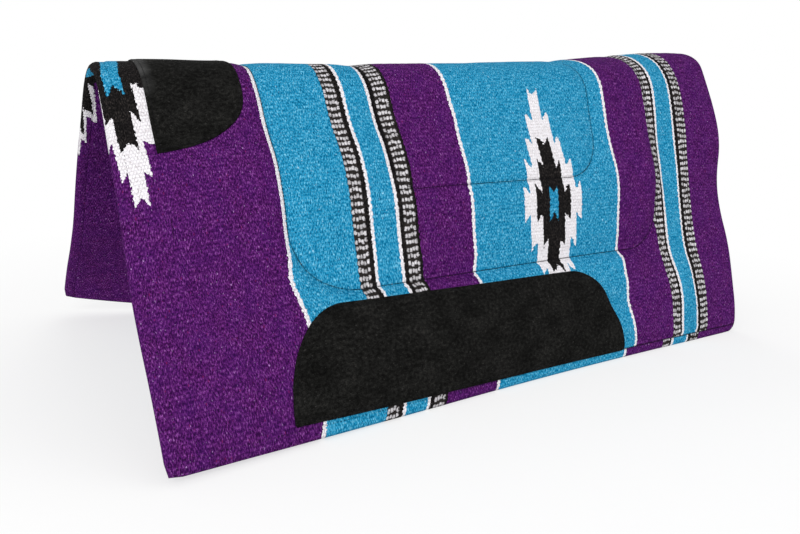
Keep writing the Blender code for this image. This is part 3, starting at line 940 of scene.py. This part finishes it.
def checkColor(readU, warps, fiber, colors):
    placeU, placeT = rungPlace(readU), timesPlus(warps, *rungs["across"])
    loose = whiteNoise(whole(placeU), whole(placeT), seed=4.0)
    awayU, awayT = (times(minus(fraction(place), 0.5), size)
                    for place, size in zip((placeU, placeT), rungs["size"]))
    awayT = shaken(awayT, loose[0], rungs["loose"])
    powerU, powerT = rungs["power"]
    shape = plus(power(unsigned(awayU), powerU), power(unsigned(awayT), powerT))
    shape = shaken(shaken(shape, fiber, rungs["fuzz"]), loose[1], rungs["uneven"])
    rung = times(between(shape, *rungs["edge"]), timesPlus(loose[2], *rungs["white"]))
    dusty = paint(rungs["dusty"], colors["black"], tone(*rungs["dust"]))
    return paint(rung, dusty, colors["white"])


def wovenPattern(readU, readS, asLining, colors, lining):
    pattern, start = colors["purple"], 0.0
    for end, yarn in stripes:
        if yarn != "purple":
            inside = calc("COMPARE", readU, (start + end) / 2, (end - start) / 2)
            pattern = paint(inside, pattern, colors[yarn])
        start = end
    figures = [(flapFigure, 1.0), (liningFigure, asLining)]
    if not lining:
        figures.insert(1, (frontFigure, minus(1.0, asLining)))
    for figure, share in figures:
        for yarn, mask in figureMasks(readU, readS, figure):
            pattern = paint(times(mask, share), pattern, colors[yarn])
    return pattern


def creaseLine(u, t):
    # a line of painted shade along the crease
    awayU, awayT = (unsigned(minus(*places)) for places in zip((u, t), weave["crease"]))
    return times(between(awayU, *weave["creaseU"]), between(awayT, *weave["creaseT"]))


def wovenMaterial(name, lining=False):
    material, shader = newMaterial(name, roughness=0.95, specular=0.03)
    u, t = flatPlace(shader)
    s = unsigned(t)
    noise, beads = grains(u, t, weave["grains"]), beadPlaces(u, t)
    tint = whiteNoise(beads["bead"], beads["row"], seed=3.0)[1]
    rearHem = between(u, *weave["askewFrom"])
    readU, readS, asLining = patternPlace(u, t, s, beads, noise, rearHem, lining)
    colors = yarnColors(noise, tint)
    colors["checks"] = checkColor(readU, beads["warps"], noise["fiber"], colors)
    pattern = wovenPattern(readU, readS, asLining, colors, lining)

    # domed beads, 1 at their middles, with painted shade in the crevices between them
    domeU, domeT = (times(minus(1.0, beads[way]), beads[way]) for way in ("across", "along"))
    dome = power(times(times(domeU, domeT), 16.0), 0.5)
    dark = timesPlus(dome, -weave["creviceShade"], weave["creviceShade"])

    # painted shade: a dark line with a soft shade where a seam pulls in, and dark lines at a
    # crease and at the hem's fold
    seam = least(fromSeam(u, s, outerPanel), fromSeam(u, s, seatPanel))
    line = between(seam, *weave["seamLine"])
    line = times(line, timesPlus(noise["blotch"], *weave["seamBlotch"]))
    hemLine = between(unsigned(minus(s, halfWidth - weave["hemFold"])), *weave["foldLine"])
    hemLine = times(hemLine, timesPlus(rearHem, *weave["foldDark"]))
    lines = most(line, most(creaseLine(u, t), hemLine))
    dark = most(dark, times(lines, weave["line"]))
    dark = timesPlus(between(seam, weave["seamReach"], 0.0), weave["seamShade"], dark)
    height = weighted((dome, 1.0), (noise["fiber"], weave["fiberRelief"]),
                      (tint, weave["beadRelief"]), (line, -1.0))
    # the painted shade darkens the woven pattern towards the dark tone
    cover(shader, paint(dark, pattern, tone(*weave["dark"])), height, weave["relief"])
    return material


# Suede, thread, felt and foam; grains have size along and across, seed, detail and contrast

suedeLook = {
    "grains": {"brushed": (0.034, 0.024, 21.0, 3.0, 2.0), "nap": (0.0042, 0.0036, 22.0, 3.0, 2.6),
               "fine": (0.0011, 0.0011, 24.0, 1.0, 2.4), "lint": (0.0034, 0.0022, 23.0, 0.0, 1.0)},
    "shares": {"brushed": 0.30, "nap": 0.38, "fine": 0.32},
    "tones": ((0.1, (6, 6, 6)), (0.4, (17, 17, 16)), (0.62, (29, 29, 28)), (0.85, (44, 43, 41)),
              (1.0, (62, 60, 56))),
    "palerU": (0.056, 0.042),           # paler over the spine at the front
    "palerS": (0.085, 0.045),
    "paler": 0.75, "palerTone": (92, 92, 92),
    "lintFrom": (0.76, 0.82), "lint": 0.22, "lintTone": (86, 84, 82),
    "relief": 0.0005, "fineRelief": 0.5,
}
threadLook = {"twist": (0.0006, 0.0006, 31.0, 1.0, 1.5), "relief": 0.0001,
              "tones": ((0.0, (8, 8, 10)), (1.0, (30, 30, 34)))}
feltLook = {"fibers": (0.0012, 0.004, 41.0, 4.0, 1.8), "specks": (0.006, 0.006, 42.0, 2.0, 2.0),
            "tones": ((0.1, (96, 95, 92)), (0.5, (140, 138, 134)), (0.9, (190, 187, 180))),
            "fiberShare": 0.6, "relief": 0.0005}
foamLook = {"cells": 900.0, "relief": 0.0003,        # cells to a metre
            "tones": ((0.0, (186, 172, 128)), (0.5, (226, 214, 176)), (1.0, (236, 226, 192)))}


def suedeMaterial():
    material, shader = newMaterial("blackSuede", roughness=0.98, specular=0.02)
    u, t = flatPlace(shader)
    noise = grains(u, t, suedeLook["grains"])
    value = weighted(*((noise[name], share) for name, share in suedeLook["shares"].items()))
    # paler over the spine at the front, in patches of the brushed grain
    paler = times(between(u, *suedeLook["palerU"]), between(unsigned(t), *suedeLook["palerS"]))
    paler = times(paler, times(noise["brushed"], suedeLook["paler"]))
    color = paint(paler, toneRamp(value, suedeLook["tones"]), tone(*suedeLook["palerTone"]))
    lint = times(between(noise["lint"], *suedeLook["lintFrom"]), suedeLook["lint"])
    color = paint(lint, color, tone(*suedeLook["lintTone"]))
    height = timesPlus(noise["fine"], suedeLook["fineRelief"], noise["nap"])
    cover(shader, color, height, suedeLook["relief"])
    return material


def threadMaterial():
    material, shader = newMaterial("darkThread", roughness=0.8, specular=0.05)
    twist = grain(*flatPlace(shader), *threadLook["twist"])
    cover(shader, toneRamp(twist, threadLook["tones"]), twist, threadLook["relief"])
    return material


def feltMaterial():
    material, shader = newMaterial("greyFelt", roughness=0.95, specular=0.1, sheen=0.1)
    u, t = flatPlace(shader)
    fibers, specks = (grain(u, t, *feltLook[name]) for name in ("fibers", "specks"))
    share = feltLook["fiberShare"]
    color = toneRamp(weighted((specks, 1 - share), (fibers, share)), feltLook["tones"])
    cover(shader, color, fibers, feltLook["relief"])
    return material


def foamMaterial():
    material, shader = newMaterial("creamFoam", roughness=0.9, specular=0.2)
    u, t = flatPlace(shader)
    cells = nodeFor("TexVoronoi", u)
    put(cells.inputs["Vector"], joined(u, t))
    cells.inputs["Scale"].default_value = foamLook["cells"]
    distance = cells.outputs["Distance"]
    cover(shader, toneRamp(distance, foamLook["tones"]), distance, foamLook["relief"])
    return material


# Layers, by their depth under the outer face. The rim of a thin layer has its bulge, the share
# of it at both sides, how far these lie in from the faces, and the cloth's length between rings.

layers = {"felt": 0.006, "panelFoam": 0.006, "seatFoam": 0.005,
          "pinch": 0.0028, "pinchWidth": 0.008}      # how seams press them together
topSheet = {
    "inset": 0.0105,         # from the cut edge to the border of the fine face
    "step": 0.00352,
    "nap": 0.00010, "napSeed": 12,
    "rollSteps": 9, "power": 0.85,       # the roll at the edge, squarer for a lower power
    "back": 0.0012, "backRound": 0.0004, "backLength": 0.001,    # its end, turned under
}
underside = {"inset": 0.0125, "step": 0.0050, "gathers": 0.6,
             "rim": (0.0012, 0.7, -0.0004, 0.0012)}
feltSheet = {"inset": 0.0095, "step": 0.0085, "rim": (0.0015, 0.8, 0.0015, 0.002)}
foam = {"trim": 0.010, "bevel": 0.035, "step": 0.009, "insets": (0.0, 0.0008, 0.0022, 0.005),
        "round": 0.002, "roundDepth": 0.35}
feltTop = cloth["weave"] + cloth["layerGap"]
feltBottom = feltTop + layers["felt"]
foamTop = feltBottom + cloth["layerGap"]
undersideTop = foamTop + 2 * cloth["layerGap"]


def pinch(u, t):
    # how much a seam presses the layers together
    near = sum(bell(distance, layers["pinchWidth"]) for distance in insideBoth(u, t))
    return layers["pinch"] * np.minimum(near, 1.0)


def foamDepth(u, t, panel, thickness):
    return thickness * np.clip(insidePanel(u, t, panel) / foam["bevel"], 0.0, 1.0)


def panelFoamDepth(u, t):
    return foamDepth(u, t, outerPanel, layers["panelFoam"])


def seatFoamDepth(u, t):
    return foamDepth(u, t, seatPanel, layers["seatFoam"])


def undersideDepth(u, t):
    return undersideTop + panelFoamDepth(u, t) + seatFoamDepth(u, t) - pinch(u, t)


def undersideFace(u, t):
    relief = gathers(u, t, stitching["gatherSeeds"][1], *insideBoth(u, t))
    return -undersideDepth(u, t) - cloth["weave"] + underside["gathers"] * relief


def rollRings(reach, top, bottom):
    # rings round a turned edge, from just past the top face to the bottom one
    rings, length, last = [], 0.0, (0.0, top)
    steps, power = topSheet["rollSteps"], topSheet["power"]
    for k in range(1, steps + 1):
        angle = math.pi * k / steps
        outwards = reach * max(math.sin(angle), 0.0) ** power
        side = math.copysign(abs(math.cos(angle)) ** power, math.cos(angle))
        depth = (top + bottom) / 2 - (bottom - top) / 2 * side
        length += math.hypot(outwards - last[0], depth - last[1])
        last = (outwards, depth)
        rings.append((outwards, depth, length))
    return rings


def rimRings(upper, lower, rim):
    bulge, share, inset, run = rim
    return [(bulge * share, upper + inset, run), (bulge, (upper + lower) / 2, 2 * run),
            (bulge * share, lower - inset, 3 * run)]


def topLift(u, t):
    nap = np.random.default_rng(topSheet["napSeed"]).uniform(-1.0, 1.0, np.shape(u))
    return fineRelief(u, t) + nap * topSheet["nap"]


def makeWovenTop(material):
    # the outer cloth runs over the face, round the edge and a little way back under
    reach, thick, edge, back = topSheet["inset"], cloth["weave"], cloth["edge"], topSheet["back"]
    outer = rollRings(reach, 0.0, edge)
    end = outer[-1][2]
    outer.append((-back, edge - topSheet["backRound"], end + topSheet["backLength"]))
    outer.append((-back, edge - thick, end))
    inner = rollRings(reach - thick, thick, edge - thick)
    return makeSheet("wovenTop", material, topSheet, topLift,
                     outer + inner[-2::-1], lambda u, t: -thick)


def makeUnderside(material):
    rings = rimRings(undersideTop + cloth["weave"], undersideTop, underside["rim"])
    return makeSheet("wovenUnderside", material, underside, undersideFace,
                     rings, lambda u, t: -undersideDepth(u, t), flip=True)


def makeFelt(material):
    rings = rimRings(feltTop, feltBottom, feltSheet["rim"])
    return makeSheet("feltCore", material, feltSheet, lambda u, t: -feltTop,
                     rings, lambda u, t: -feltBottom + pinch(u, t))


def makeFoam(name, material, panel, upper, thickness):
    front, rear, drop, frontCorner, rearCorner = panel
    trim = foam["trim"]
    outline = panelOutline(front + trim, rear - trim, drop - trim,
                           frontCorner - trim, rearCorner - trim)

    def rounded(edge):
        return 1 - foam["roundDepth"] * np.clip(1 - edge / foam["round"], 0.0, 1.0) ** 2
    return makePatch(name, material, outline, foam, lambda u, t, edge: -upper(u, t),
                     lambda u, t, edge: -upper(u, t) - thickness(u, t) * rounded(edge))


suede = {
    "thickness": 0.002, "gap": 0.0003, "step": 0.0042,
    "round": 0.0034, "cutEdge": 0.18,    # width of the rounded rim, and its thickness at the cut
    "groove": 0.0006, "grooveWidth": 0.0012, "stitchInset": 0.0042,
    "gather": 0.00025, "gatherSize": 0.009, "gatherReach": 0.005, "gatherStart": 0.002, "seed": 8,
    "insets": (0.0, 0.0005, 0.0011, 0.002, 0.003, 0.0036, 0.0042, 0.0048, 0.0056, 0.007, 0.0095),
}


def suedeLift(u, t, edge):
    rounding = 1 - np.clip(1 - edge / suede["round"], 0.0, 1.0) ** 2
    full = suede["cutEdge"] + (1 - suede["cutEdge"]) * np.sqrt(rounding)
    fromStitches = edge - suede["stitchInset"]
    groove = suede["groove"] * bell(fromStitches, suede["grooveWidth"])
    gather = softNoise(u, t, suede["gatherSize"], suede["seed"])
    gather *= suede["gather"] * bell(fromStitches, suede["gatherReach"])
    gather *= np.clip(edge / suede["gatherStart"], 0.0, 1.0)
    return suede["gap"] + suede["thickness"] * full - groove + gather


def makeSuede(name, outline, material):
    return makePatch(name, material, outline, suede, suedeLift,
                     lambda u, t, edge: suede["gap"])


threads = {
    "quilt": {"radius": 0.00030, "pitch": 0.0040, "gap": 0.0012},
    "leather": {"radius": 0.00028, "pitch": 0.0034, "gap": 0.0008},
    "hem": {"radius": 0.00034, "pitch": 0.0042, "gap": 0.0009},
    "hemCorner": 0.004,
    "hemCornerSteps": 4,
}


def makeThreads(material):
    seams = [panelOutline(*panel) for panel in (outerPanel, seatPanel)]
    inset, corner = cloth["hemBand"], threads["hemCorner"]
    hemPath = panelOutline(inset, cloth["length"] - inset, halfWidth - inset, corner, corner,
                           threads["hemCornerSteps"])
    onLeather = suede["gap"] + suede["thickness"] - suede["groove"]
    leatherRuns = [(insetPath(outline, suede["stitchInset"]), lambda u, t: onLeather, 1)
                   for outline in leatherOutlines]
    quilt = makeStitches("quiltStitches", material,
                         [(path, fineRelief, 1) for path in seams], threads["quilt"])
    lining = makeStitches("quiltStitchesInside", material,
                          [(path, undersideFace, -1) for path in seams], threads["quilt"])
    hem = makeStitches("hemStitches", material, [(hemPath, fineRelief, 1)],
                       threads["hem"])
    makeStitches("leatherStitches", material, leatherRuns, threads["leather"])
    return quilt, lining, hem


# Camera, light and floor

view = {"place": (-0.1387 - cloth["length"] / 2, -0.9051 + spineY, 0.3047),
        "yaw": 29.72, "pitch": 11.08, "roll": 1.69,
        "focalPixels": 802.1, "imageWidth": 800, "sensor": 36.0}


def makeCamera():
    yaw, pitch, roll = (math.radians(view[key]) for key in ("yaw", "pitch", "roll"))
    level = math.cos(pitch)
    ahead = Vector((math.sin(yaw) * level, math.cos(yaw) * level, -math.sin(pitch)))
    right = Vector((math.cos(yaw), -math.sin(yaw), 0.0))
    up = right.cross(ahead)
    turnedRight = right * math.cos(roll) + up * math.sin(roll)
    turnedUp = up * math.cos(roll) - right * math.sin(roll)
    data = bpy.data.cameras.new("photoCamera")
    data.sensor_width = view["sensor"]
    data.lens = view["focalPixels"] / view["imageWidth"] * view["sensor"]
    camera = bpy.data.objects.new("photoCamera", data)
    camera.matrix_world = Matrix((turnedRight, turnedUp, -ahead)).transposed().to_4x4()
    camera.location = view["place"]
    bpy.context.scene.collection.objects.link(camera)
    bpy.context.scene.camera = camera


lamps = {
    "key": {"place": (-2.2, -3.0, 1.9), "size": 2.4, "power": 94.0},
    "low": {"place": (-2.4, -1.2, 0.5), "size": 1.2, "power": 6.0},
    "fill": {"place": (2.6, -2.2, 1.4), "size": 2.4, "power": 25.0},
    "back": {"place": (0.6, 2.6, 2.4), "size": 2.0, "power": 22.0},
}
lampsFace = Vector((0.0, 0.0, 0.2))
room = {"ambient": 0.62, "floorColor": 0.96, "nearGlow": 0.6, "fadeStart": 0.55, "fadeEnd": 1.2,
        "floorSize": 16.0, "floorHeight": -0.0004}


def makeLights():
    for name, lamp in lamps.items():
        data = bpy.data.lights.new(name + "Lamp", "AREA")
        data.shape = "SQUARE"
        data.size = lamp["size"]
        data.energy = lamp["power"]
        item = bpy.data.objects.new(name + "Lamp", data)
        item.location = lamp["place"]
        item.rotation_euler = (lampsFace - item.location).to_track_quat("-Z", "Y").to_euler()
        bpy.context.scene.collection.objects.link(item)


def whiteToView(tree):
    # a strength of 1 for what the camera sees directly or through gloss, and less otherwise
    path = tree.nodes.new("ShaderNodeLightPath")
    seen = path.outputs["Is Camera Ray"]
    for name in ("Is Glossy Ray", "Is Transmission Ray"):
        seen = most(seen, path.outputs[name])
    return timesPlus(seen, 1.0 - room["ambient"], room["ambient"])


def makeWorld():
    world = bpy.data.worlds.new("paleRoom")
    bpy.context.scene.world = world
    world.use_nodes = True
    background = world.node_tree.nodes["Background"]
    background.inputs["Color"].default_value = (1.0, 1.0, 1.0, 1.0)
    put(background.inputs["Strength"], whiteToView(world.node_tree))


def makeFloor():
    # pale near the blanket, where its shadow lies, and white further out
    half = room["floorSize"] / 2
    corners = [(x * half, y * half, 0.0) for x, y in ((-1, -1), (1, -1), (1, 1), (-1, 1))]
    mesh = bpy.data.meshes.new("floor")
    mesh.from_pydata(corners, [], [(0, 1, 2, 3)])
    floor = bpy.data.objects.new("floor", mesh)
    floor.location.z = room["floorHeight"]
    bpy.context.scene.collection.objects.link(floor)
    material, shader = newMaterial("paleFloor", roughness=0.9, specular=0.0)
    shader.inputs["Base Color"].default_value = (*[room["floorColor"]] * 3, 1.0)
    tree = material.node_tree
    place = tree.nodes.new("ShaderNodeTexCoord")
    length = tree.nodes.new("ShaderNodeVectorMath")
    length.operation = "LENGTH"
    put(length.inputs[0], place.outputs["Object"])
    fade = between(length.outputs["Value"], room["fadeStart"], room["fadeEnd"])
    fade.node.inputs["To Min"].default_value = room["nearGlow"]
    glow = tree.nodes.new("ShaderNodeEmission")
    put(glow.inputs["Strength"], whiteToView(tree))
    mix = tree.nodes.new("ShaderNodeMixShader")
    for socket, value in zip(mix.inputs, (fade, shader.outputs[0], glow.outputs[0])):
        put(socket, value)
    put(tree.nodes["Material Output"].inputs["Surface"], mix.outputs[0])
    mesh.materials.append(material)


# Assembly


def makeBlanket():
    quilt, lining, hem = makeThreads(threadMaterial())
    suedeSkin = suedeMaterial()
    names = ("witherLeather", "nearLeather", "farLeather")
    nodes = ("wither_wear_leather", "near_wear_leather", "far_wear_leather")
    leathers = [makeSuede(*named, suedeSkin) for named in zip(names, leatherOutlines)]
    for piece, node in zip(leathers, nodes):
        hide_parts(node)
    top = makeWovenTop(wovenMaterial("stripedWeave"))
    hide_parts("woven_top")
    inner = makeUnderside(wovenMaterial("liningWeave", lining=True))
    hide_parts("woven_underside")
    felt = makeFelt(feltMaterial())
    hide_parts("felt_core")
    foamSkin = foamMaterial()
    panel = makeFoam("panelFoam", foamSkin, outerPanel,
                     lambda u, t: foamTop - pinch(u, t), panelFoamDepth)
    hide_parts("panel_foam")
    seat = makeFoam("seatFoam", foamSkin, seatPanel,
                    lambda u, t: foamTop + panelFoamDepth(u, t) + cloth["layerGap"] - pinch(u, t),
                    seatFoamDepth)
    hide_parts("seat_foam")


makeBlanket()
print("blanket made")
makeCamera()
makeLights()
makeWorld()
makeFloor()
bpy.context.scene.view_settings.view_transform = "Standard"
print("stage made")

bpy.context.view_layer.update()
